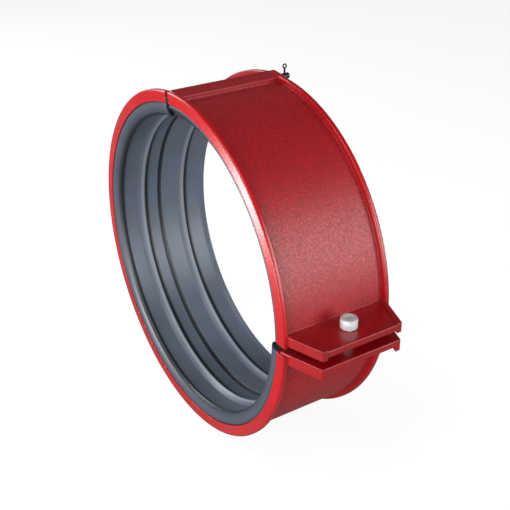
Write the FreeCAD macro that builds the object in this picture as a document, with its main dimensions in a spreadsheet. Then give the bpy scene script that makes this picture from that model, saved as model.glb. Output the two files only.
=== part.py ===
import FreeCAD, Part
import os

import Sketcher

# Two-part pipe coupling: a long shell and a short closing shell, hinged along one seam,
# each lined with ribbed rubber, drawn together round the pipe by one socket screw.
# Frame: the pipe's axis is Y, +Z is up, the origin is the bore's centre at mid width.
# Angles are counted from +X towards +Z. The bolt gap is at angle 0, on the +X side.

os.makedirs("parts", exist_ok=True)
doc = FreeCAD.newDocument("pipe_coupling")

# Driving dimensions, in millimetres and degrees
SIZES = [
    ("coupling_width", 96.0, "length of the coupling along the pipe"),
    ("shell_radius", 143.5, "outer radius of the shells between the rims"),
    ("shell_wall", 4.0, "wall of the shells"),
    ("rim_height", 4.5, "how far the end rims stand out from the shells"),
    ("rim_depth", 4.2, "thickness of a rim along the pipe"),
    ("rim_round", 1.2, "rounding of the rims' outer edges"),
    ("catch_height", 1.0, "how far the rims stand in to hold the liner"),
    ("bolt_gap_above", 0.8, "angle from the bolt plane to the closing shell's end"),
    ("bolt_gap_below", 2.1, "angle from the bolt plane to the long shell's end"),
    ("hinge_angle", 95.5, "angle of the hinge axis"),
    ("hinge_inset", 2.2, "how far the hinge axis lies inside the shells' outer radius"),
    ("seam_half", 0.85, "angle from the hinge axis to each shell's end"),
    ("pin_radius", 2.5, "hinge pin"),
    ("pin_fit", 0.05, "running clearance of the pin in the closing shell"),
    ("pin_reach", 17.6, "how far the pin stands out behind the rear rim"),
    ("knuckle_radius", 4.3, "outer radius of the hinge knuckles"),
    ("knuckle_span", 30.0, "length of the long shell's middle knuckle"),
    ("knuckle_clear", 0.4, "clearance round and beside a knuckle"),
    ("bar_width", 15.3, "stiffening bar beside the seam"),
    ("bar_height", 3.4, "how far the bar's flat top lies outside the shells' outer radius"),
    ("bar_angle", 84.5, "direction that the bar's flat top faces"),
    ("bar_shift", 17.7, "offset of the bar's middle towards the seam, along its flat top"),
    ("bar_overhang", 3.4, "how far the bar runs on behind the rear rim"),
    ("bar_round", 2.0, "rounding of the bar's rear end"),
    ("ear_length", 32.7, "how far the ears reach out from the shells' outer radius"),
    ("ear_root_inset", 1.4, "how much narrower than the coupling an ear is at its root, each side"),
    ("ear_tip_inset", 13.0, "how much narrower than the coupling an ear is at its tip, each side"),
    ("ear_plate", 5.0, "thickness of the ears' plates"),
    ("upper_plate_height", 5.1, "underside of the upper ear's plate"),
    ("lower_plate_depth", 3.8, "top of the lower ear's plate, below the bolt plane"),
    ("flange_wall", 4.0, "thickness of the flanges along the ears' sides"),
    ("upper_flange_low", 3.0, "lower edge of the upper ear's flanges"),
    ("flange_lift", 1.0, "how far the upper ear's flanges stand above its plate"),
    ("lower_flange_drop", 4.2, "how far the lower ear's flanges stand below its plate"),
    ("screw_inset", 16.9, "distance of the clamp screw from the ears' tips"),
    ("screw_radius", 4.0, "M8 thread"),
    ("screw_length", 25.0, "length under the head"),
    ("screw_head_radius", 6.5, "socket head"),
    ("screw_head_height", 8.0, "socket head"),
    ("screw_head_edge", 0.6, "bevel round the top of the head"),
    ("socket_flats", 6.0, "hexagon socket across its flats"),
    ("socket_depth", 4.2, "hexagon socket"),
    ("head_clear", 0.3, "clearance under the head, for the ear's tilt"),
    ("screw_clear", 0.4, "clearance round the screw in the ears"),
    ("slot_half", 2.1, "half the straight length of the upper ear's slot"),
    ("nut_flats", 13.0, "thin hexagon nut across its flats"),
    ("nut_height", 4.0, "thin hexagon nut"),
    ("thread_fit", 0.05, "clearance between the plain nut bore and screw"),
    ("split_wire", 0.8, "radius of the split pin's folded wire"),
    ("split_eye", 1.6, "middle radius of the split pin's eye"),
    ("split_above", 8.4, "height of the eye's middle above the hinge pin's axis"),
    ("split_below", 5.5, "length of the split pin's straight legs below the axis"),
    ("split_leg", 4.0, "length of the split pin's bent ends"),
    ("split_bend", 125.0, "angle by which the split pin's ends are bent out"),
    ("split_inset", 3.6, "distance of the split pin from the hinge pin's end"),
    ("split_fit", 0.1, "clearance of the split pin in its cross hole"),
    ("liner_clear", 0.1, "clearance between a liner and its shell"),
    ("liner_wall", 10.4, "depth of a liner's plain bore inside the shells' bore"),
    ("lip_height", 2.3, "how far a liner's end lips stand in from its plain bore"),
    ("lip_land", 0.6, "width of a lip's crest"),
    ("long_lip_depth", 1.7, "distance of the long liner's lip crests from its ends"),
    ("closing_lip_depth", 5.2, "distance of the closing liner's lip crests from its ends"),
    ("front_lip_fall", 2.0, "width of the front lip's inner flank"),
    ("rear_lip_fall", 5.0, "width of the rear lip's inner flank"),
    ("rib_height", 3.1, "how far the sealing ribs stand in from the plain bore"),
    ("rib_middle", 20.9, "distance of each rib's crest from mid width"),
    ("rib_land", 1.2, "width of a rib's crest"),
    ("rib_ramp", 5.0, "width of a rib's gentle flank, on its front side"),
    ("rib_fall", 2.4, "width of a rib's steep flank, on its rear side"),
    ("groove_depth", 1.8, "groove round the plain bore"),
    ("groove_shift", 3.2, "distance of the groove in front of mid width"),
    ("groove_floor", 2.0, "width of the groove's floor"),
    ("groove_flank", 1.0, "width of each of the groove's flanks"),
    ("overrun", 1.0, "how far joined pieces run into each other and cuts run out"),
]

sheet = doc.addObject("Spreadsheet::Sheet", "Sizes")
for row, (alias, value, note) in enumerate(SIZES, start=1):
    sheet.set("A%d" % row, alias)
    sheet.set("B%d" % row, "%g" % value)
    sheet.set("C%d" % row, note)
    sheet.setAlias("B%d" % row, alias)
doc.recompute()


def size(expression):
    """The value of an expression in the sheet's names, as a plain number."""
    value = sheet.evalExpression(in_sheet(expression))
    return float(getattr(value, "Value", value))


def in_sheet(expression):
    """Put the sheet's name in front of each size in an expression."""
    text = str(expression)
    words = []
    word = ""
    for sign in text + " ":
        if sign.isalnum() or sign in "_.":
            word += sign
            continue
        words.append("Sizes." + word if word in ALIASES else word)
        words.append(sign)
        word = ""
    return "".join(words).strip()


ALIASES = {alias for alias, value, note in SIZES}


def bind(thing, **sizes):
    """Bind properties of an object to expressions in the sheet's names."""
    for name, expression in sizes.items():
        thing.setExpression(name.replace("__", "."), in_sheet(expression))


def origin_plane(body, role):
    for plane in body.Origin.OriginFeatures:
        if plane.Role == role:
            return plane


def new_body(name):
    return doc.addObject("PartDesign::Body", name)


def new_sketch(body, name, role, height="0", turn="0", turn_axis=FreeCAD.Vector(0, 1, 0)):
    """A sketch on one of the body's own planes, lifted and turned by sizes."""
    sketch = body.newObject("Sketcher::SketchObject", name)
    sketch.AttachmentSupport = (origin_plane(body, role), [""])
    sketch.MapMode = "FlatFace"
    start = FreeCAD.Vector(0, 0, size(height))
    sketch.AttachmentOffset = FreeCAD.Placement(start, FreeCAD.Rotation(turn_axis, size(turn)))
    if height != "0":
        bind(sketch, AttachmentOffset__Base__z=height)
    if turn != "0":
        bind(sketch, AttachmentOffset__Rotation__Angle=turn)
    return sketch


def outline(sketch, corners):
    """A closed outline of straight lines, each corner held by two sizes."""
    points = [FreeCAD.Vector(size(across), size(along), 0) for across, along in corners]
    for index, point in enumerate(points):
        sketch.addGeometry(Part.LineSegment(point, points[(index + 1) % len(points)]), False)
    for index, (across, along) in enumerate(corners):
        following = (index + 1) % len(points)
        sketch.addConstraint(Sketcher.Constraint("Coincident", index, 2, following, 1))
        for kind, expression, value in (
            ("DistanceX", across, points[index].x),
            ("DistanceY", along, points[index].y),
        ):
            if abs(value) < 1e-9:
                on_axis = -2 if kind == "DistanceX" else -1
                sketch.addConstraint(Sketcher.Constraint("PointOnObject", index, 1, on_axis))
                continue
            number = sketch.addConstraint(Sketcher.Constraint(kind, -1, 1, index, 1, value))
            sketch.setExpression("Constraints[%d]" % number, in_sheet(expression))
    return sketch


def revolve(body, name, sketch, sweep):
    turn = body.newObject("PartDesign::Revolution", name)
    turn.Profile = sketch
    turn.ReferenceAxis = (sketch, ["V_Axis"])
    turn.Angle = size(sweep)
    bind(turn, Angle=sweep)
    return turn


def pad(body, name, sketch, length):
    block = body.newObject("PartDesign::Pad", name)
    block.Profile = sketch
    bind(block, Length=length)
    return block


def pocket(body, name, sketch, length, upwards):
    """Cut away what lies above or below the sketch, and make sure that it cuts."""
    doc.recompute()
    before = body.Shape.Volume
    cut = body.newObject("PartDesign::Pocket", name)
    cut.Profile = sketch
    cut.Reversed = upwards
    bind(cut, Length=length)
    doc.recompute()
    if body.Shape.Volume > before - 1.0:
        raise RuntimeError(name + " cuts nothing")
    return cut


def round_edges(body, name, radius, wanted):
    """Round the edges of the body's last shape that a test picks."""
    doc.recompute()
    tip = body.Tip
    names = ["Edge%d" % (number + 1) for number, edge in enumerate(tip.Shape.Edges) if wanted(edge)]
    rounding = body.newObject("PartDesign::Fillet", name)
    rounding.Base = (tip, names)
    rounding.Radius = size(radius)
    bind(rounding, Radius=radius)
    return rounding


def is_arc(edge, radius):
    curve = edge.Curve
    return curve.TypeId == "Part::GeomCircle" and abs(curve.Radius - radius) < 1e-4


def cylinder(name, radius, height, x="0", y="0", z="0", axis="Z"):
    """A cylinder whose foot is at a place and that runs along +Z, +Y or +X."""
    rod = doc.addObject("Part::Cylinder", name)
    turns = {
        "Z": FreeCAD.Rotation(),
        "Y": FreeCAD.Rotation(FreeCAD.Vector(-1, 0, 0), 90),
        "X": FreeCAD.Rotation(FreeCAD.Vector(0, 1, 0), 90),
    }
    rod.Placement = FreeCAD.Placement(FreeCAD.Vector(0, 0, 0), turns[axis])
    bind(rod, Radius=radius, Height=height)
    bind(rod, Placement__Base__x=x, Placement__Base__y=y, Placement__Base__z=z)
    return rod


def hexagon(name, flats, height, x, z):
    """A six-sided prism with two flats square to X."""
    prism = doc.addObject("Part::Prism", name)
    prism.Polygon = 6
    prism.Placement = FreeCAD.Placement(
        FreeCAD.Vector(0, 0, 0), FreeCAD.Rotation(FreeCAD.Vector(0, 0, 1), 30)
    )
    bind(prism, Circumradius="%s / 2 / cos(30)" % flats, Height=height)
    bind(prism, Placement__Base__x=x, Placement__Base__z=z)
    return prism


def fuse(name, pieces):
    joined = doc.addObject("Part::MultiFuse", name)
    joined.Shapes = pieces
    joined.Refine = True
    return joined


def cut(name, base, tool):
    result = doc.addObject("Part::Cut", name)
    result.Base = base
    result.Tool = tool
    result.Refine = True
    return result


HALF = "(coupling_width / 2)"
RIM_RADIUS = "(shell_radius + rim_height)"
SHELL_BORE = "(shell_radius - shell_wall)"
CATCH = "(shell_radius - shell_wall - catch_height)"
HINGE_X = "(shell_radius - hinge_inset) * cos(hinge_angle)"
HINGE_Z = "(shell_radius - hinge_inset) * sin(hinge_angle)"
EAR_REACH = "(shell_radius + ear_length)"
SCREW_X = "(shell_radius + ear_length - screw_inset)"
UPPER_PLATE_TOP = "(upper_plate_height + ear_plate)"
LOWER_PLATE_LOW = "(lower_plate_depth + ear_plate)"
SCREW_SEAT = "(upper_plate_height + ear_plate + head_clear)"
SPLIT_Y = "(coupling_width / 2 + pin_reach - split_inset)"


def shell_ring(name, start, axis, sweep):
    """One arc of the flanged shell: a wall, two rims standing out and a catch standing in."""
    body = new_body(name)
    sketch = new_sketch(body, name + "_section", "XY_Plane", turn=start, turn_axis=axis)
    shoulder = "(coupling_width / 2 - rim_depth)"
    outline(sketch, [
        (CATCH, "-" + HALF), (RIM_RADIUS, "-" + HALF), (RIM_RADIUS, "-" + shoulder),
        ("shell_radius", "-" + shoulder), ("shell_radius", shoulder), (RIM_RADIUS, shoulder),
        (RIM_RADIUS, HALF), (CATCH, HALF), (CATCH, shoulder), (SHELL_BORE, shoulder),
        (SHELL_BORE, "-" + shoulder), (CATCH, "-" + shoulder),
    ])
    revolve(body, name + "_turned", sketch, sweep)
    round_edges(body, name + "_rim_rounding", "rim_round",
                lambda edge: is_arc(edge, size(RIM_RADIUS)))
    return body


def ear(name, low, height):
    """A clamping ear as a solid block that narrows to its tip."""
    body = new_body(name)
    root = "(shell_radius - shell_wall / 2)"
    root_half = "(coupling_width / 2 - ear_root_inset)"
    tip_half = "(coupling_width / 2 - ear_tip_inset)"
    block = new_sketch(body, name + "_outline", "XY_Plane", height=low)
    outline(block, [
        (root, "-" + root_half), (EAR_REACH, "-" + tip_half),
        (EAR_REACH, tip_half), (root, root_half),
    ])
    pad(body, name + "_block", block, height)
    return body


def trough(body, name, height, depth, upwards):
    """Hollow an ear between its two flanges, down or up to its plate."""
    root = "(shell_radius - shell_wall / 2)"
    beyond = "(shell_radius + ear_length + flange_wall)"
    taper = "((ear_tip_inset - ear_root_inset) / (ear_length + shell_wall / 2))"
    root_half = "(coupling_width / 2 - ear_root_inset - flange_wall)"
    tip_half = "(coupling_width / 2 - ear_tip_inset - flange_wall - flange_wall * %s)" % taper
    sketch = new_sketch(body, name + "_outline", "XY_Plane", height=height)
    outline(sketch, [
        (root, "-" + root_half), (beyond, "-" + tip_half),
        (beyond, tip_half), (root, root_half),
    ])
    pocket(body, name, sketch, depth, upwards)


def upper_ear():
    height = UPPER_PLATE_TOP + " + flange_lift - upper_flange_low"
    body = ear("upper_ear", "upper_flange_low", height)
    trough(body, "upper_ear_top_trough", UPPER_PLATE_TOP, "flange_lift + overrun", True)
    under = "upper_plate_height - upper_flange_low + overrun"
    trough(body, "upper_ear_bottom_trough", "upper_plate_height", under, False)
    return body


def lower_ear():
    height = "ear_plate + lower_flange_drop"
    body = ear("lower_ear", "-(%s + lower_flange_drop)" % LOWER_PLATE_LOW, height)
    trough(body, "lower_ear_trough", "-" + LOWER_PLATE_LOW, "lower_flange_drop + overrun", False)
    return body


def knuckle(name, radius, low, length):
    return cylinder(name, radius, length, HINGE_X, low, HINGE_Z, "Y")


def rim_slots(name):
    """Room round the pin in the two rims, in front of and behind the knuckles."""
    slack = "pin_radius + knuckle_clear"
    front = knuckle(name + "_front", slack, "-coupling_width", HALF + " + rim_depth")
    rear = knuckle(name + "_rear", slack, HALF + " - rim_depth", "coupling_width")
    return [front, rear]


def long_shell():
    """The long shell, with the lower ear and the middle knuckle."""
    sweep = "360 - bolt_gap_below - hinge_angle - seam_half"
    ring = shell_ring("long_ring", "bolt_gap_below", FreeCAD.Vector(0, 1, 0), sweep)
    middle = knuckle("middle_knuckle", "knuckle_radius", "-knuckle_span / 2", "knuckle_span")
    joined = fuse("long_shell_joined", [ring, lower_ear(), middle])
    reach = "knuckle_radius + knuckle_clear"
    room = "%s - rim_depth - knuckle_span / 2" % HALF
    front = knuckle("front_knuckle_room", reach, "rim_depth - %s" % HALF, room)
    rear = knuckle("rear_knuckle_room", reach, "knuckle_span / 2", room)
    bore = knuckle("long_pin_way", "pin_radius", "-coupling_width", "2 * coupling_width")
    hole = cylinder("lower_ear_hole", "screw_radius + screw_clear", "ear_plate + 2 * overrun",
                    SCREW_X, "0", "-%s - overrun" % LOWER_PLATE_LOW)
    tools = fuse("long_shell_cuts", [front, rear, bore, hole] + rim_slots("long_rim_slot"))
    return cut("long_shell", joined, tools)


def closing_bar():
    """The flat-topped bar beside the seam, its rear end rounded."""
    bar = doc.addObject("Part::Box", "bar_block")
    turn = "(90 - bar_angle)"
    low = "(shell_radius - shell_wall * 0.8)"
    left = "(-bar_shift - bar_width / 2)"
    front = "(rim_depth / 2 - coupling_width / 2)"
    bar.Placement = FreeCAD.Placement(
        FreeCAD.Vector(0, 0, 0), FreeCAD.Rotation(FreeCAD.Vector(0, 1, 0), size(turn))
    )
    bind(bar,
         Length="bar_width",
         Width="%s + bar_overhang - %s" % (HALF, front),
         Height="shell_radius + bar_height - %s" % low,
         Placement__Base__x="%s * cos(%s) + %s * sin(%s)" % (left, turn, low, turn),
         Placement__Base__y=front,
         Placement__Base__z="%s * cos(%s) - %s * sin(%s)" % (low, turn, left, turn),
         Placement__Rotation__Angle=turn)
    doc.recompute()
    rounded = doc.addObject("Part::Fillet", "closing_bar")
    rounded.Base = bar
    rear_end = size(HALF + " + bar_overhang")
    top = max(vertex.Z for vertex in bar.Shape.Vertexes)
    edges = [number + 1 for number, edge in enumerate(bar.Shape.Edges)
             if all(abs(vertex.Y - rear_end) < 1e-6 for vertex in edge.Vertexes)
             and any(abs(vertex.Z - top) < 1e-6 for vertex in edge.Vertexes)
             and edge.Length > size("bar_width") - 1e-6]
    rounded.Edges = [(number, size("bar_round"), size("bar_round")) for number in edges]
    return rounded


def closing_shell():
    """The short closing shell, with the upper ear, the bar and two knuckles."""
    start = "hinge_angle - seam_half"
    sweep = "hinge_angle - seam_half - bolt_gap_above"
    ring = shell_ring("closing_ring", start, FreeCAD.Vector(0, -1, 0), sweep)
    beside = "knuckle_span / 2 + knuckle_clear"
    span = "(%s - knuckle_span / 2 - knuckle_clear - rim_depth)" % HALF
    front = knuckle("front_knuckle", "knuckle_radius", "rim_depth - %s" % HALF, span)
    rear = knuckle("rear_knuckle", "knuckle_radius", beside, span)
    joined = fuse("closing_shell_joined", [ring, upper_ear(), closing_bar(), front, rear])
    room = knuckle("middle_knuckle_room", "knuckle_radius + knuckle_clear",
                   "-knuckle_span / 2 - knuckle_clear", "knuckle_span + 2 * knuckle_clear")
    bore = knuckle("closing_pin_way", "pin_radius + pin_fit", "-coupling_width",
                   "2 * coupling_width")
    tools = [room, bore] + rim_slots("closing_rim_slot") + screw_slot()
    return cut("closing_shell", joined, fuse("closing_shell_cuts", tools))


def screw_slot():
    """The upper ear's slot, which lets the ear swing past the upright screw."""
    wide = "(screw_radius + screw_clear)"
    low = "upper_plate_height - overrun"
    tall = "ear_plate + 2 * overrun"
    inner_end = cylinder("slot_inner_end", wide, tall, SCREW_X + " - slot_half", "0", low)
    outer_end = cylinder("slot_outer_end", wide, tall, SCREW_X + " + slot_half", "0", low)
    middle = doc.addObject("Part::Box", "slot_middle")
    bind(middle, Length="2 * slot_half", Width="2 * " + wide, Height=tall)
    bind(middle, Placement__Base__x=SCREW_X + " - slot_half", Placement__Base__y="-" + wide,
         Placement__Base__z=low)
    return [inner_end, outer_end, middle]


def liner_ring(name, start, axis, sweep, lip_depth):
    """One arc of the rubber liner: an end lip at each end, two leaning ribs and a groove."""
    body = new_body(name + "_ring")
    sketch = new_sketch(body, name + "_section", "XY_Plane", turn=start, turn_axis=axis)
    seat = "(shell_radius - shell_wall - liner_clear)"
    mouth = "(shell_radius - shell_wall - catch_height - liner_clear)"
    shoulder = "(coupling_width / 2 - rim_depth - liner_clear)"
    bore = "(shell_radius - shell_wall - liner_wall)"
    lip = "(shell_radius - shell_wall - liner_wall - lip_height)"
    crest = "(shell_radius - shell_wall - liner_wall - rib_height)"
    floor = "(shell_radius - shell_wall - liner_wall + groove_depth)"
    lip_place = "(coupling_width / 2 - %s)" % lip_depth
    groove_half = "(groove_floor / 2 + groove_flank)"

    def rib(middle):
        return [
            (bore, "(%s + rib_land / 2 + rib_fall)" % middle),
            (crest, "(%s + rib_land / 2)" % middle),
            (crest, "(%s - rib_land / 2)" % middle),
            (bore, "(%s - rib_land / 2 - rib_ramp)" % middle),
        ]

    rear_lip = [
        (mouth, HALF), (lip, lip_place), (lip, "(%s - lip_land)" % lip_place),
        (bore, "(%s - lip_land - rear_lip_fall)" % lip_place),
    ]
    groove = [
        (bore, "(%s - groove_shift)" % groove_half), (floor, "(groove_floor / 2 - groove_shift)"),
        (floor, "(-groove_floor / 2 - groove_shift)"), (bore, "(-%s - groove_shift)" % groove_half),
    ]
    front_lip = [
        (bore, "-(%s - lip_land - front_lip_fall)" % lip_place),
        (lip, "-(%s - lip_land)" % lip_place), (lip, "-" + lip_place), (mouth, "-" + HALF),
    ]
    back = [(mouth, "-" + shoulder), (seat, "-" + shoulder), (seat, shoulder), (mouth, shoulder)]
    inside = rear_lip + rib("rib_middle") + groove + rib("-rib_middle") + front_lip
    outline(sketch, inside + back)
    revolve(body, name + "_turned", sketch, sweep)
    return body


def liner(name, start, axis, sweep, lip_depth):
    """A liner, trimmed clear of the hinge knuckles."""
    ring = liner_ring(name, start, axis, sweep, lip_depth)
    room = knuckle(name + "_knuckle_room", "knuckle_radius + knuckle_clear", "-coupling_width",
                   "2 * coupling_width")
    return cut(name, ring, room)


def long_liner():
    sweep = "360 - bolt_gap_below - hinge_angle - seam_half"
    return liner("long_liner", "bolt_gap_below", FreeCAD.Vector(0, 1, 0), sweep, "long_lip_depth")


def closing_liner():
    start = "hinge_angle - seam_half"
    sweep = "hinge_angle - seam_half - bolt_gap_above"
    return liner("closing_liner", start, FreeCAD.Vector(0, -1, 0), sweep, "closing_lip_depth")


def hinge_pin():
    rod = knuckle("hinge_rod", "pin_radius", "-%s" % HALF, "coupling_width + pin_reach")
    cross = cylinder("split_pin_way", "split_wire + split_fit", "4 * pin_radius", HINGE_X,
                     SPLIT_Y, "%s - 2 * pin_radius" % HINGE_Z)
    return cut("hinge_pin", rod, cross)


def split_pin():
    """The split pin: a folded wire with an eye above the hinge pin and two bent ends below."""
    stem = cylinder("split_stem", "split_wire", "split_above + split_below - split_eye",
                    HINGE_X, SPLIT_Y, "%s - split_below" % HINGE_Z)
    eye = doc.addObject("Part::Torus", "split_eye_ring")
    eye.Placement = FreeCAD.Placement(
        FreeCAD.Vector(0, 0, 0), FreeCAD.Rotation(FreeCAD.Vector(0, 1, 0), 90)
    )
    bind(eye, Radius1="split_eye", Radius2="split_wire * 0.75")
    bind(eye, Placement__Base__x=HINGE_X, Placement__Base__y=SPLIT_Y,
         Placement__Base__z="%s + split_above" % HINGE_Z)
    legs = []
    for number, sense in ((1, -1), (2, 1)):
        leg = doc.addObject("Part::Cylinder", "split_leg_%d" % number)
        leg.Placement = FreeCAD.Placement(
            FreeCAD.Vector(0, 0, 0),
            FreeCAD.Rotation(FreeCAD.Vector(0, 1, 0), sense * size("split_bend"))
        )
        bind(leg, Radius="split_wire * 0.8", Height="split_leg")
        bind(leg, Placement__Base__x=HINGE_X, Placement__Base__y=SPLIT_Y,
             Placement__Base__z="%s - split_below + split_wire / 2" % HINGE_Z)
        legs.append(leg)
    return fuse("split_pin", [stem, eye] + legs)


def clamp_screw():
    """The M8 socket-head screw, head up, its thread left plain."""
    head = cylinder("screw_head", "screw_head_radius", "screw_head_height", SCREW_X, "0",
                    SCREW_SEAT)
    head_rounded = doc.addObject("Part::Chamfer", "screw_head_edge")
    doc.recompute()
    head_rounded.Base = head
    top = size(SCREW_SEAT + " + screw_head_height")
    rim = [number + 1 for number, edge in enumerate(head.Shape.Edges)
           if edge.Curve.TypeId == "Part::GeomCircle" and abs(edge.CenterOfMass.z - top) < 1e-4]
    bevel = size("screw_head_edge")
    head_rounded.Edges = [(number, bevel, bevel) for number in rim]
    shank = cylinder("screw_shank", "screw_radius", "screw_length + overrun", SCREW_X, "0",
                     "%s - screw_length" % SCREW_SEAT)
    whole = fuse("screw_whole", [head_rounded, shank])
    socket = hexagon("screw_socket", "socket_flats", "socket_depth + overrun", SCREW_X,
                     "%s + screw_head_height - socket_depth" % SCREW_SEAT)
    return cut("clamp_screw", whole, socket)


def screw_nut():
    """The thin hexagon nut under the lower ear, between its flanges."""
    low = "-%s - nut_height" % LOWER_PLATE_LOW
    block = hexagon("nut_block", "nut_flats", "nut_height", SCREW_X, low)
    way = cylinder("nut_way", "screw_radius + thread_fit", "nut_height + 2 * overrun", SCREW_X, "0",
                   "%s - overrun" % low)
    return cut("screw_nut", block, way)


NODES = [
    long_shell(), closing_shell(), long_liner(), closing_liner(),
    hinge_pin(), split_pin(), clamp_screw(), screw_nut(),
]
doc.recompute()

for item in doc.Objects:
    if "Invalid" in item.State or "Error" in item.State:
        raise RuntimeError("%s is %s" % (item.Label, item.State))
for node in NODES:
    if node.Shape.isNull() or not node.Shape.isValid() or not node.Shape.Solids:
        raise RuntimeError("%s has no good solid" % node.Label)
for node in NODES:
    node.Shape.exportStep("parts/%s.step" % node.Label)
    box = node.Shape.BoundBox
    print("%-14s solids %d  volume %9.1f  box %s" % (
        node.Label, len(node.Shape.Solids), node.Shape.Volume,
        [round(v, 1) for v in (box.XMin, box.YMin, box.ZMin, box.XMax, box.YMax, box.ZMax)]))
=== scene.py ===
# The two-part pipe coupling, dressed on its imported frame: speckled red shells with smooth rims
# and ears, ribbed rubber liners, a bright socket screw and a dark hinge pin, on a pale floor.
import math

import bpy
from mathutils import Matrix, Vector


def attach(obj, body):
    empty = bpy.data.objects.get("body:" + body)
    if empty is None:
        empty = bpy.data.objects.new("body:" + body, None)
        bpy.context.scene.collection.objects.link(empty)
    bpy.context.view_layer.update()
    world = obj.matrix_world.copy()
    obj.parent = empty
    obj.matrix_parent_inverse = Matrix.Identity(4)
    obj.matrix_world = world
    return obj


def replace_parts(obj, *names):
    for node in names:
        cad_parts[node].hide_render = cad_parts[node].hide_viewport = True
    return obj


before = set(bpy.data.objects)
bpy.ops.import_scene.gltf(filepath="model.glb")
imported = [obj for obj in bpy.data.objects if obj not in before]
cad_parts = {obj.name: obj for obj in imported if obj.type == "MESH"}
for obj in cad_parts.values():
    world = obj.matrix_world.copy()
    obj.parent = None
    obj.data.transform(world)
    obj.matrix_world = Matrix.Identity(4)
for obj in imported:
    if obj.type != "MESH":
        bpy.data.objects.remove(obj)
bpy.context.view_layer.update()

# Sizes of the coupling, in metres
RIM_RADIUS = 0.148
WIDTH = 0.096
HALF = WIDTH / 2
RIM_DEPTH = 0.0042

# How the red coat is shaded: the rims' lean as a slope, the rest in metres
RIM_LEAN = 0.36
EDGE_EASE = 0.0014
EAR_FADE = 0.003

# The hinge and the two liners' ends, in metres and degrees
HINGE_ANGLE = 95.5
HINGE_RADIUS = 0.1413
SEAM_HALF = 0.85
KNUCKLE_ROOM = 0.0047
GAP_ABOVE = 0.8
GAP_BELOW = 2.1

# The liners' section, in metres
LINER_SEAT = 0.1394
LINER_MOUTH = 0.1384
LINER_SHOULDER = 0.0437
LINER_BORE = 0.1291
RIB_RADIUS = 0.126
RIB_MIDDLE = 0.0209
RIB_LAND = 0.0012
RIB_RAMP = 0.005
RIB_FALL = 0.0024
GROOVE_RADIUS = 0.1309
GROOVE_MIDDLE = -0.0032
GROOVE_HALF = 0.002
GROOVE_FLOOR_HALF = 0.001
CORNER_EASE = 0.0012

# The liners' end lips, in metres; each is drawn round a place at its liner's lip depth
LIP_RADIUS = 0.1268
LONG_LIP_DEPTH = 0.0022
CLOSING_LIP_DEPTH = 0.0052
LIP_FALL = 0.0056
REAR_CREST = 0.001
REAR_NOSE_RISE = 0.004
REAR_NOSE_REACH = 0.0006
FRONT_CREST = 0.003
FRONT_NOSE_RISE = 0.0022
FRONT_CHEEK_RISE = 0.006
FRONT_CHEEK_REACH = 0.0016
FRONT_FACE_INSET = 0.002
FRONT_FACE_ROUND = 0.0012

# How finely the liners are divided, in steps, and the span beside the hinge, in degrees
LINER_STEPS = 216
HINGE_STEPS = 5
HINGE_SPAN = 1.2

# The M8 socket screw and its thin nut, in metres and counts
SCREW_X = 0.1593
SEAT = 0.0104
HEAD_RADIUS = 0.0065
HEAD_HEIGHT = 0.008
HEAD_BEVEL = 0.0006
SOCKET_FLATS = 0.006
SOCKET_DEPTH = 0.0042
KNURLS = 36
KNURL_STEPS = 6
KNURL_DEPTH = 0.00022
THREAD_RADIUS = 0.004
THREAD_DEPTH = 0.00065
THREAD_PITCH = 0.00125
THREAD_POINTS = 40
PITCH_STEPS = 8
SCREW_LENGTH = 0.025
SCREW_TIP = 0.00001
NUT_TOP = -0.0088
NUT_HEIGHT = 0.004
NUT_FLATS = 0.013
NUT_POINTS = 96

# The angles up to which an edge is shaded smooth, in degrees
METAL_SMOOTH = 35
RUBBER_SMOOTH = 50

# The floor under the rims, in metres
FLOOR = -RIM_RADIUS
FLOOR_REACH = 3

# The photograph's camera, in degrees, rim radii, pixels and millimetres
VIEW_AZIMUTH = 58.42
VIEW_ELEVATION = 29.87
RING_TURN = 2.0
CAMERA_DISTANCE = 5.033
FOCAL_PIXELS = 867.0
PICTURE = 510.0
CENTRE_LEFT = 22.7
CENTRE_ABOVE = 3.1
SENSOR = 36.0

# A mix node's inputs for the factor and the two things mixed, colours or normals
MIX_INPUTS = {"RGBA": (0, 6, 7), "VECTOR": (0, 4, 5)}


def linear(red, green, blue):
    """A colour as the screen shows it, 0 to 255, turned into the light that it stands for."""
    shades = []
    for value in (red, green, blue):
        level = value / 255
        shades.append(level / 12.92 if level <= 0.04045 else ((level + 0.055) / 1.055) ** 2.4)
    return (*shades, 1.0)


def grey(value):
    return (value, value, value, 1.0)


def put_in_scene(name, data):
    """An object that shows a mesh, a lamp or the camera."""
    shown = bpy.data.objects.new(name, data)
    bpy.context.scene.collection.objects.link(shown)
    return shown


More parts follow.
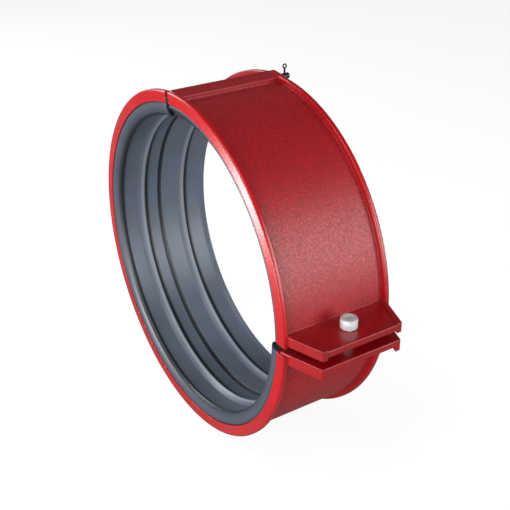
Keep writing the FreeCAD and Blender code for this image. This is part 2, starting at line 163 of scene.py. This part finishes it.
class Nodes:
    """A material's node tree. Its methods add a node and return the socket that it gives out."""

    def __init__(self, name):
        self.material = bpy.data.materials.new(name)
        self.material.use_nodes = True
        self.tree = self.material.node_tree
        self.tree.nodes.clear()
        self.surface = self.add("ShaderNodeBsdfPrincipled")
        self.feed(self.add("ShaderNodeOutputMaterial"), "Surface", self.surface.outputs["BSDF"])
        self.place = self.add("ShaderNodeTexCoord").outputs["Object"]

    def add(self, kind, **settings):
        """Add a node with its settings and return the node itself."""
        node = self.tree.nodes.new(kind)
        for name, value in settings.items():
            setattr(node, name, value)
        return node

    def feed(self, node, socket, value):
        """Set a node's input to a fixed value, or join it to a socket."""
        if isinstance(value, bpy.types.NodeSocket):
            self.tree.links.new(value, node.inputs[socket])
        else:
            node.inputs[socket].default_value = value

    def noise(self, scale, detail=2.0, roughness=0.5):
        node = self.add("ShaderNodeTexNoise")
        self.feed(node, "Vector", self.place)
        self.feed(node, "Scale", scale)
        self.feed(node, "Detail", detail)
        self.feed(node, "Roughness", roughness)
        return node.outputs["Fac"]

    def ramp(self, source, stops):
        """Colours between stops, each a level of the source with its colour."""
        node = self.add("ShaderNodeValToRGB")
        marks = node.color_ramp.elements
        while len(marks) < len(stops):
            marks.new(0.5)
        for mark, (level, colour) in zip(marks, stops):
            mark.position = level
            mark.color = colour
        self.feed(node, "Fac", source)
        return node.outputs["Color"]

    def math(self, operation, *values):
        node = self.add("ShaderNodeMath", operation=operation)
        for socket, value in enumerate(values):
            self.feed(node, socket, value)
        return node.outputs["Value"]

    def mix(self, factor, first, second, data_type="RGBA", blend_type="MIX"):
        """Mix two colours, or two normals where data_type is VECTOR."""
        node = self.add("ShaderNodeMix", data_type=data_type, blend_type=blend_type)
        for socket, value in zip(MIX_INPUTS[data_type], (factor, first, second)):
            self.feed(node, socket, value)
        return node.outputs["Result"]

    def rise(self, source, start, end):
        """Nought up to the start, one from the end, even in between."""
        node = self.add("ShaderNodeMapRange")
        self.feed(node, "From Min", start)
        self.feed(node, "From Max", end)
        self.feed(node, "Value", source)
        return node.outputs["Result"]

    def bump(self, height, strength, distance, under=None):
        """Relief in the shading, laid over another normal where one is given."""
        node = self.add("ShaderNodeBump")
        self.feed(node, "Height", height)
        self.feed(node, "Strength", strength)
        self.feed(node, "Distance", distance)
        if under:
            self.feed(node, "Normal", under)
        return node.outputs["Normal"]

    def coordinates(self):
        """The place on the piece, split into X, Y and Z."""
        node = self.add("ShaderNodeSeparateXYZ")
        self.feed(node, "Vector", self.place)
        return node.outputs

    def radius(self, spot):
        """The distance from the pipe's axis."""
        squares = self.math("ADD", self.math("MULTIPLY", spot["X"], spot["X"]),
                            self.math("MULTIPLY", spot["Z"], spot["Z"]))
        return self.math("SQRT", squares)

    def finish(self, colour, roughness, normal):
        """Give the surface its colour, roughness and normal, and return the material."""
        self.feed(self.surface, "Base Color", colour)
        self.feed(self.surface, "Roughness", roughness)
        self.feed(self.surface, "Normal", normal)
        return self.material


def red_coat():
    """Red coat: fine speckles and a rough skin on the shells, smoother on the rims and ears."""
    nodes = Nodes("red_coat")
    spot = nodes.coordinates()
    across = nodes.math("ABSOLUTE", spot["Y"])
    radius = nodes.radius(spot)
    rim_start = HALF - RIM_DEPTH
    rim = nodes.rise(across, rim_start - 0.0004, rim_start + 0.0002)
    rim_face = nodes.rise(across, HALF - 0.0006, HALF - 0.0004)
    ear = nodes.rise(radius, RIM_RADIUS, RIM_RADIUS + EAR_FADE)
    speckle = nodes.noise(scale=620, detail=3.0, roughness=0.65)
    cloud = nodes.noise(scale=34, detail=4.0, roughness=0.6)

    speckled = nodes.ramp(speckle, [(0.36, linear(116, 4, 16)), (0.5, linear(160, 6, 20)),
                                    (0.66, linear(196, 28, 44))])
    clouded = nodes.ramp(cloud, [(0.35, linear(148, 4, 16)), (0.68, linear(164, 10, 24))])
    cloud_share = 0.42
    shells = nodes.mix(cloud_share, speckled, clouded)
    ears = nodes.ramp(cloud, [(0.3, linear(142, 4, 12)), (0.7, linear(158, 8, 18))])
    rims = nodes.ramp(cloud, [(0.3, linear(168, 4, 14)), (0.7, linear(184, 8, 20))])
    colour = nodes.mix(rim, nodes.mix(ear, shells, ears), rims)

    polished = grey(0.3)
    speckled_gloss = nodes.ramp(speckle, [(0.34, grey(0.54)), (0.66, grey(0.4))])
    roughness = nodes.mix(rim, nodes.mix(ear, speckled_gloss, polished), polished)

    edges = nodes.add("ShaderNodeBevel", samples=6)
    nodes.feed(edges, "Radius", EDGE_EASE)
    shell_skin = 0.35
    ear_skin = 0.1
    skin_strength = nodes.math("MULTIPLY_ADD", ear, ear_skin - shell_skin, shell_skin)
    skin = nodes.bump(speckle, strength=skin_strength, distance=0.00025,
                      under=edges.outputs["Normal"])
    peel = nodes.bump(nodes.noise(scale=150), strength=0.12, distance=0.0004, under=skin)
    lean = nodes.math("MULTIPLY", radius, -RIM_LEAN)
    leaning = nodes.bump(lean, strength=1.0, distance=1.0, under=peel)
    normal = nodes.mix(rim_face, peel, leaning, data_type="VECTOR")
    nodes.feed(nodes.surface, "Specular IOR Level", 0.7)
    return nodes.finish(colour, roughness, normal)


def bands(middle, stops):
    """Colour stops at distances from a place along the pipe, as shares of the width."""
    return [((middle + away + HALF) / WIDTH, colour) for away, colour in stops]


def liner_rubber():
    """Blue-grey rubber: a paler painted highlight up to the ribs' crests, painted shade in corners
    and groove.
    """
    nodes = Nodes("liner_rubber")
    spot = nodes.coordinates()
    along = nodes.rise(spot["Y"], -HALF, HALF)
    inside = nodes.rise(nodes.radius(spot), GROOVE_RADIUS + 0.0022, GROOVE_RADIUS + 0.0006)
    cloud = nodes.noise(scale=28, detail=4.0, roughness=0.6)

    plain = linear(94, 104, 119)
    # Painted highlight: the ribs' gentle front flanks are lighter up to their crests, where the
    # front light falls.
    painted_ramp_light = linear(132, 140, 152)
    # Painted shade: near black behind the lips and rib crests and in the groove, where those
    # hollows are in shade.
    painted_shade = linear(22, 26, 34)
    front_lip = [(0, linear(54, 62, 76)), (0.0018, linear(50, 58, 72)),
                 (0.0035, painted_shade), (0.007, painted_shade), (0.0085, plain)]
    rib = [(-0.0033, plain), (-0.0017, painted_ramp_light), (-0.0003, painted_ramp_light),
           (0.001, painted_shade), (0.0047, painted_shade), (0.0058, plain)]
    groove = [(-0.0022, plain), (-0.0016, painted_shade), (0.0016, painted_shade), (0.0022, plain)]
    rear_lip = [(-0.0028, plain), (-0.0014, painted_shade)]
    lined = nodes.ramp(along, bands(-HALF, front_lip) + bands(-RIB_MIDDLE, rib)
                       + bands(GROOVE_MIDDLE, groove) + bands(RIB_MIDDLE, rib)
                       + bands(HALF, rear_lip))
    end_face = [(0.0005, linear(60, 68, 82)), (0.0025, linear(34, 42, 54))]
    outside = nodes.ramp(along, bands(-HALF, end_face))
    uneven = nodes.ramp(cloud, [(0.3, grey(0.8)), (0.7, grey(1.0))])
    colour = nodes.mix(1.0, nodes.mix(inside, outside, lined), uneven, blend_type="MULTIPLY")

    roughness = nodes.ramp(cloud, [(0.3, grey(0.38)), (0.7, grey(0.46))])
    skin = nodes.bump(nodes.noise(scale=900, roughness=0.6), strength=0.25, distance=0.0001)
    nodes.feed(nodes.surface, "Specular IOR Level", 0.7)
    return nodes.finish(colour, roughness, skin)


def metal(name, light, dark, roughness, metallic):
    """Plated or oiled steel with a fine uneven grain."""
    nodes = Nodes(name)
    cloud = nodes.noise(scale=240, detail=4.0, roughness=0.6)
    colour = nodes.ramp(cloud, [(0.3, dark), (0.7, light)])
    gloss = nodes.ramp(cloud, [(0.3, grey(roughness - 0.06)), (0.7, grey(roughness + 0.08))])
    skin = nodes.bump(nodes.noise(scale=1500), strength=0.1, distance=0.0001)
    nodes.feed(nodes.surface, "Metallic", metallic)
    return nodes.finish(colour, gloss, skin)


def dress(node, material):
    """Give a CAD node its finish."""
    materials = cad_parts[node].data.materials
    materials.clear()
    materials.append(material)


def build(name, points, faces, material, smooth_angle):
    """A piece from points and faces, its edges shaded smooth up to an angle."""
    mesh = bpy.data.meshes.new(name)
    mesh.from_pydata(points, [], faces)
    mesh.materials.append(material)
    mesh.shade_smooth()
    mesh.set_sharp_from_angle(angle=math.radians(smooth_angle))
    return put_in_scene(name, mesh)


def hexagon_radius(angle, flats):
    """The distance from a hexagon's middle to its outline, in a direction."""
    sixth = math.pi / 3
    return flats / 2 / math.cos((angle + sixth / 2) % sixth - sixth / 2)


class Rings:
    """Points and faces built from rings round the screw's axis, each joined to the last."""

    def __init__(self):
        self.points = []
        self.faces = []
        self.previous = None

    def ring(self, count, radius, height):
        """Add a ring; its radius is a number or a function of the angle."""
        first = len(self.points)
        for step in range(count):
            angle = 2 * math.pi * step / count
            out = radius(angle) if callable(radius) else radius
            self.points.append((SCREW_X + out * math.cos(angle), out * math.sin(angle), height))
        if self.previous is not None:
            self.join(count, first)
        self.previous = first

    def join(self, count, first):
        """Lay faces from the last ring to the ring that starts at a point."""
        for step in range(count):
            after = (step + 1) % count
            self.faces.append((self.previous + step, self.previous + after,
                               first + after, first + step))

    def cap(self, count, height):
        """Close the last ring with a fan, so that the next ring starts afresh."""
        middle = len(self.points)
        self.points.append((SCREW_X, 0, height))
        for step in range(count):
            after = (step + 1) % count
            self.faces.append((self.previous + step, self.previous + after, middle))
        self.previous = None


def knurled(angle):
    """The screw head's outline: fine rounded ridges round it."""
    return HEAD_RADIUS - KNURL_DEPTH * (0.5 + 0.5 * math.cos(angle * KNURLS))


def socket_side(angle):
    """The outline of the hexagon socket."""
    return hexagon_radius(angle, SOCKET_FLATS)


def add_head(rings):
    """The screw's knurled head with its bevels and hexagon socket."""
    count = KNURLS * KNURL_STEPS
    top = SEAT + HEAD_HEIGHT
    socket_mouth = SOCKET_FLATS * 0.62
    socket_floor = SOCKET_FLATS * 0.45
    rings.ring(count, THREAD_RADIUS, SEAT)
    rings.ring(count, HEAD_RADIUS - HEAD_BEVEL, SEAT)
    rings.ring(count, HEAD_RADIUS - HEAD_BEVEL / 4, SEAT + HEAD_BEVEL / 2)
    rings.ring(count, knurled, SEAT + HEAD_BEVEL)
    rings.ring(count, knurled, top - HEAD_BEVEL * 2.4)
    rings.ring(count, HEAD_RADIUS - HEAD_BEVEL / 3, top - HEAD_BEVEL * 1.9)
    rings.ring(count, HEAD_RADIUS - HEAD_BEVEL / 3, top - HEAD_BEVEL)
    rings.ring(count, HEAD_RADIUS - HEAD_BEVEL, top - HEAD_BEVEL / 4)
    rings.ring(count, HEAD_RADIUS - HEAD_BEVEL * 1.6, top)
    rings.ring(count, socket_mouth, top)
    rings.ring(count, socket_side, top - HEAD_BEVEL / 2)
    rings.ring(count, socket_side, top - SOCKET_DEPTH)
    rings.ring(count, socket_floor, top - SOCKET_DEPTH)
    rings.cap(count, top - SOCKET_DEPTH - HEAD_BEVEL)


def threaded(height, low):
    """The shank's outline at a height: a cut thread, bevelled away at the low end."""
    flank_slope = 2.6
    crest_share = 0.15
    end_bevel = THREAD_DEPTH * 1.6

    def radius(angle):
        turn = (height / THREAD_PITCH + angle / (2 * math.pi)) % 1
        cut = THREAD_DEPTH * min(1, max(0, abs(turn - 0.5) * flank_slope - crest_share))
        end = max(0, end_bevel - (height - low))
        return THREAD_RADIUS - max(cut, end)
    return radius


def add_thread(rings):
    """The screw's threaded shank, from its closed low end up into the head."""
    low = SEAT - SCREW_LENGTH
    levels = int(SCREW_LENGTH / THREAD_PITCH * PITCH_STEPS)
    rings.ring(THREAD_POINTS, SCREW_TIP, low)
    for level in range(levels + 1):
        height = low + level * THREAD_PITCH / PITCH_STEPS
        rings.ring(THREAD_POINTS, threaded(height, low), height)
    rings.ring(THREAD_POINTS, THREAD_RADIUS - THREAD_DEPTH, SEAT + HEAD_BEVEL)
    rings.cap(THREAD_POINTS, SEAT + HEAD_BEVEL)


def add_screw(material):
    """The screw, head and thread in one mesh."""
    rings = Rings()
    add_head(rings)
    add_thread(rings)
    return build("clamp_screw_detail", rings.points, rings.faces, material, METAL_SMOOTH)


def add_nut(material):
    """The thin nut, its corners bevelled top and bottom."""
    rings = Rings()
    bevel = NUT_HEIGHT * 0.14
    face = NUT_FLATS * 0.48
    cone_slope = 1.7
    low = NUT_TOP - NUT_HEIGHT
    steps = (0.25, 0.5, 0.75, 1)

    def bevelled(rise):
        """The hexagon's outline where a cone cuts its corners off, that far from a face."""
        return lambda angle: min(hexagon_radius(angle, NUT_FLATS), face + rise * cone_slope)

    rings.ring(NUT_POINTS, THREAD_RADIUS, low + bevel)
    rings.ring(NUT_POINTS, THREAD_RADIUS + bevel, low)
    rings.ring(NUT_POINTS, face, low)
    for step in steps:
        rings.ring(NUT_POINTS, bevelled(bevel * step), low + bevel * step)
    for step in reversed(steps):
        rings.ring(NUT_POINTS, bevelled(bevel * step), NUT_TOP - bevel * step)
    rings.ring(NUT_POINTS, face, NUT_TOP)
    rings.ring(NUT_POINTS, THREAD_RADIUS + bevel, NUT_TOP)
    rings.ring(NUT_POINTS, THREAD_RADIUS, NUT_TOP - bevel)
    rings.join(NUT_POINTS, 0)
    return build("screw_nut_detail", rings.points, rings.faces, material, METAL_SMOOTH)


def rounded(corners):
    """A closed outline with each corner eased by a short curve."""
    side_share = 0.4
    points = []
    for index, corner in enumerate(corners):
        corner = Vector(corner)
        before = Vector(corners[index - 1]) - corner
        after = Vector(corners[(index + 1) % len(corners)]) - corner
        start = corner + before.normalized() * min(CORNER_EASE, before.length * side_share)
        end = corner + after.normalized() * min(CORNER_EASE, after.length * side_share)
        for part in (0, 0.33, 0.67, 1):
            points.append(start.lerp(corner, part).lerp(corner.lerp(end, part), part))
    return points


def rib_section(middle):
    """A rib round a place along the pipe: a steep flank behind it, a gentle one in front."""
    return [
        (LINER_BORE, middle + RIB_LAND / 2 + RIB_FALL),
        (RIB_RADIUS, middle + RIB_LAND / 2),
        (RIB_RADIUS, middle - RIB_LAND / 2),
        (LINER_BORE, middle - RIB_LAND / 2 - RIB_RAMP),
    ]


def liner_section(lip_depth):
    """The liner's section as radius and place along the pipe, from the rear to the front."""
    lip = HALF - lip_depth
    rear_lip = [
        (LINER_MOUTH, HALF),
        (LIP_RADIUS + REAR_NOSE_RISE, lip + REAR_NOSE_REACH),
        (LIP_RADIUS, lip - REAR_CREST),
        (LINER_BORE, lip - LIP_FALL),
    ]
    groove = [
        (LINER_BORE, GROOVE_MIDDLE + GROOVE_HALF),
        (GROOVE_RADIUS, GROOVE_MIDDLE + GROOVE_FLOOR_HALF),
        (GROOVE_RADIUS, GROOVE_MIDDLE - GROOVE_FLOOR_HALF),
        (LINER_BORE, GROOVE_MIDDLE - GROOVE_HALF),
    ]
    front_lip = [
        (LINER_BORE, LIP_FALL - lip),
        (LIP_RADIUS, FRONT_CREST - lip),
        (LIP_RADIUS + FRONT_NOSE_RISE, -lip),
        (LIP_RADIUS + FRONT_CHEEK_RISE, -lip - FRONT_CHEEK_REACH),
        (LINER_MOUTH - FRONT_FACE_INSET, -HALF),
        (LINER_MOUTH, FRONT_FACE_ROUND - HALF),
    ]
    back = [
        (LINER_MOUTH, -LINER_SHOULDER),
        (LINER_SEAT, -LINER_SHOULDER),
        (LINER_SEAT, LINER_SHOULDER),
        (LINER_MOUTH, LINER_SHOULDER),
    ]
    inside = rear_lip + rib_section(RIB_MIDDLE) + groove + rib_section(-RIB_MIDDLE) + front_lip
    return rounded(inside) + back


def notch_radius(angle):
    """How far out a liner may reach at an angle, to stay clear of the hinge's knuckles."""
    away = math.radians(angle - HINGE_ANGLE)
    aside = HINGE_RADIUS * math.sin(away)
    if abs(aside) >= KNUCKLE_ROOM or math.cos(away) < 0:
        return LINER_SEAT
    return HINGE_RADIUS * math.cos(away) - math.sqrt(KNUCKLE_ROOM ** 2 - aside ** 2)


def liner_angles(start, end):
    """The angles of a liner's slices, closer together beside the hinge."""
    angles = [start + (end - start) * step / LINER_STEPS for step in range(LINER_STEPS + 1)]
    seam, away = (end, -1) if end < HINGE_ANGLE else (start, 1)
    angles += [seam + away * HINGE_SPAN * step / HINGE_STEPS for step in range(1, HINGE_STEPS + 1)]
    return sorted(angles)


def add_liner(name, start, end, lip_depth, material):
    """A rubber liner, its lips and ribs softly rounded, from one angle to another."""
    section = liner_section(lip_depth)
    count = len(section)
    angles = liner_angles(start, end)
    points = []
    for angle in angles:
        turn = math.radians(angle)
        for radius, along in section:
            out = min(radius, notch_radius(angle))
            points.append((out * math.cos(turn), along, out * math.sin(turn)))
    faces = [tuple(range(count)), tuple(reversed(range(len(points) - count, len(points))))]
    for first in range(0, len(points) - count, count):
        for step in range(count):
            after = (step + 1) % count
            faces.append((first + step, first + count + step,
                          first + count + after, first + after))
    return build(name, points, faces, material, RUBBER_SMOOTH)


def add_liners(material):
    """Both liners, from the hinge's seam to the bolt gap, in place of the plain CAD ones."""
    long = add_liner("long_liner_detail", HINGE_ANGLE + SEAM_HALF, 360 - GAP_BELOW,
                     LONG_LIP_DEPTH, material)
    closing = add_liner("closing_liner_detail", GAP_ABOVE, HINGE_ANGLE - SEAM_HALF,
                        CLOSING_LIP_DEPTH, material)
    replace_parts(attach(long, "long_half"), "long_liner")
    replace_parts(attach(closing, "closing_half"), "closing_liner")


def floor_material():
    """A pale floor, near white to the camera and dim in reflections, that keeps the shadow."""
    nodes = Nodes("pale_floor")
    ray = nodes.add("ShaderNodeLightPath").outputs
    mirrored_share = 0.12
    lift = 0.86
    mirrored = nodes.math("MULTIPLY", ray["Is Glossy Ray"], mirrored_share)
    shown = nodes.math("MAXIMUM", ray["Is Camera Ray"], mirrored)
    nodes.feed(nodes.surface, "Base Color", grey(0.22))
    nodes.feed(nodes.surface, "Roughness", 0.9)
    nodes.feed(nodes.surface, "Specular IOR Level", 0.1)
    nodes.feed(nodes.surface, "Emission Color", grey(1.0))
    nodes.feed(nodes.surface, "Emission Strength", nodes.math("MULTIPLY", shown, lift))
    return nodes.material


def add_floor(material):
    mesh = bpy.data.meshes.new("floor")
    corners = [(-FLOOR_REACH, -FLOOR_REACH, FLOOR), (FLOOR_REACH, -FLOOR_REACH, FLOOR),
               (FLOOR_REACH, FLOOR_REACH, FLOOR), (-FLOOR_REACH, FLOOR_REACH, FLOOR)]
    mesh.from_pydata(corners, [], [(0, 1, 2, 3)])
    mesh.materials.append(material)
    plane = put_in_scene("floor", mesh)


def turned(vector):
    """Turn a direction about the pipe's axis from the camera fit's frame into the part's."""
    return Matrix.Rotation(math.radians(RING_TURN), 3, "Y") @ Vector(vector)


def add_camera():
    """The camera stands where the photograph was taken from, level with its own picture."""
    azimuth = math.radians(VIEW_AZIMUTH)
    elevation = math.radians(VIEW_ELEVATION)
    back = turned((math.sin(azimuth) * math.cos(elevation),
                   -math.cos(azimuth) * math.cos(elevation),
                   math.sin(elevation)))
    right = turned((math.cos(azimuth), math.sin(azimuth), 0))
    up = back.cross(right)
    data = bpy.data.cameras.new("camera")
    data.sensor_width = SENSOR
    data.lens = SENSOR * FOCAL_PIXELS / PICTURE
    data.shift_x = CENTRE_LEFT / PICTURE
    data.shift_y = -CENTRE_ABOVE / PICTURE
    data.clip_start = 0.01
    data.clip_end = 20
    camera = put_in_scene("camera", data)
    facing = Matrix((right, up, back)).transposed().to_4x4()
    camera.matrix_world = Matrix.Translation(back * CAMERA_DISTANCE * RIM_RADIUS) @ facing
    bpy.context.scene.camera = camera


def add_world():
    """White where the camera sees it, a low even level as light."""
    world = bpy.data.worlds.new("studio")
    bpy.context.scene.world = world
    world.use_nodes = True
    tree = world.node_tree
    tree.nodes.clear()
    output = tree.nodes.new("ShaderNodeOutputWorld")
    choose = tree.nodes.new("ShaderNodeMixShader")
    ray = tree.nodes.new("ShaderNodeLightPath")
    tree.links.new(ray.outputs["Is Camera Ray"], choose.inputs[0])
    lit = 0.1
    seen = 1.0
    for socket_number, strength in ((1, lit), (2, seen)):
        level = tree.nodes.new("ShaderNodeBackground")
        level.inputs["Color"].default_value = grey(1.0)
        level.inputs["Strength"].default_value = strength
        tree.links.new(level.outputs["Background"], choose.inputs[socket_number])
    tree.links.new(choose.outputs["Shader"], output.inputs["Surface"])


def area_light(name, direction, distance, width, height, power):
    """A soft white box that faces the ring's centre from a direction."""
    data = bpy.data.lights.new(name, "AREA")
    data.shape = "RECTANGLE"
    data.size = width
    data.size_y = height
    data.energy = power
    lamp = put_in_scene(name, data)
    away = Vector(direction).normalized()
    lamp.location = away * distance
    lamp.rotation_mode = "QUATERNION"
    lamp.rotation_quaternion = away.to_track_quat("Z", "Y")


def add_lights():
    """Five soft boxes; the right of the front rim mirrors rim_front to the camera."""
    area_light("right", (0.84, 0.45, 0.26), distance=1.5, width=1.0, height=1.0, power=15)
    area_light("front", (0.47, -0.86, 0.08), distance=1.6, width=0.9, height=0.5, power=17)
    area_light("rim_front", (-0.30, -0.95, 0.01), distance=1.6, width=0.6, height=0.42, power=24)
    area_light("above", (0.20, -0.50, 0.84), distance=1.6, width=0.7, height=0.7, power=7)
    area_light("left", (-0.82, -0.25, 0.45), distance=1.5, width=0.8, height=0.6, power=10)


coat = red_coat()
rubber = liner_rubber()
zinc = metal("bright_zinc", light=linear(238, 243, 243), dark=linear(214, 221, 222),
             roughness=0.42, metallic=0.5)
steel = metal("dark_steel", light=linear(74, 74, 78), dark=linear(46, 46, 50),
              roughness=0.42, metallic=1.0)
for name in ("long_shell", "closing_shell"):
    dress(name, coat)
add_liners(rubber)
for name in ("hinge_pin", "split_pin"):
    dress(name, steel)
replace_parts(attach(add_screw(zinc), "screw"), "clamp_screw")
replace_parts(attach(add_nut(zinc), "long_half"), "screw_nut")

add_camera()
add_world()
add_lights()
add_floor(floor_material())

bpy.context.scene.view_settings.view_transform = "Standard"
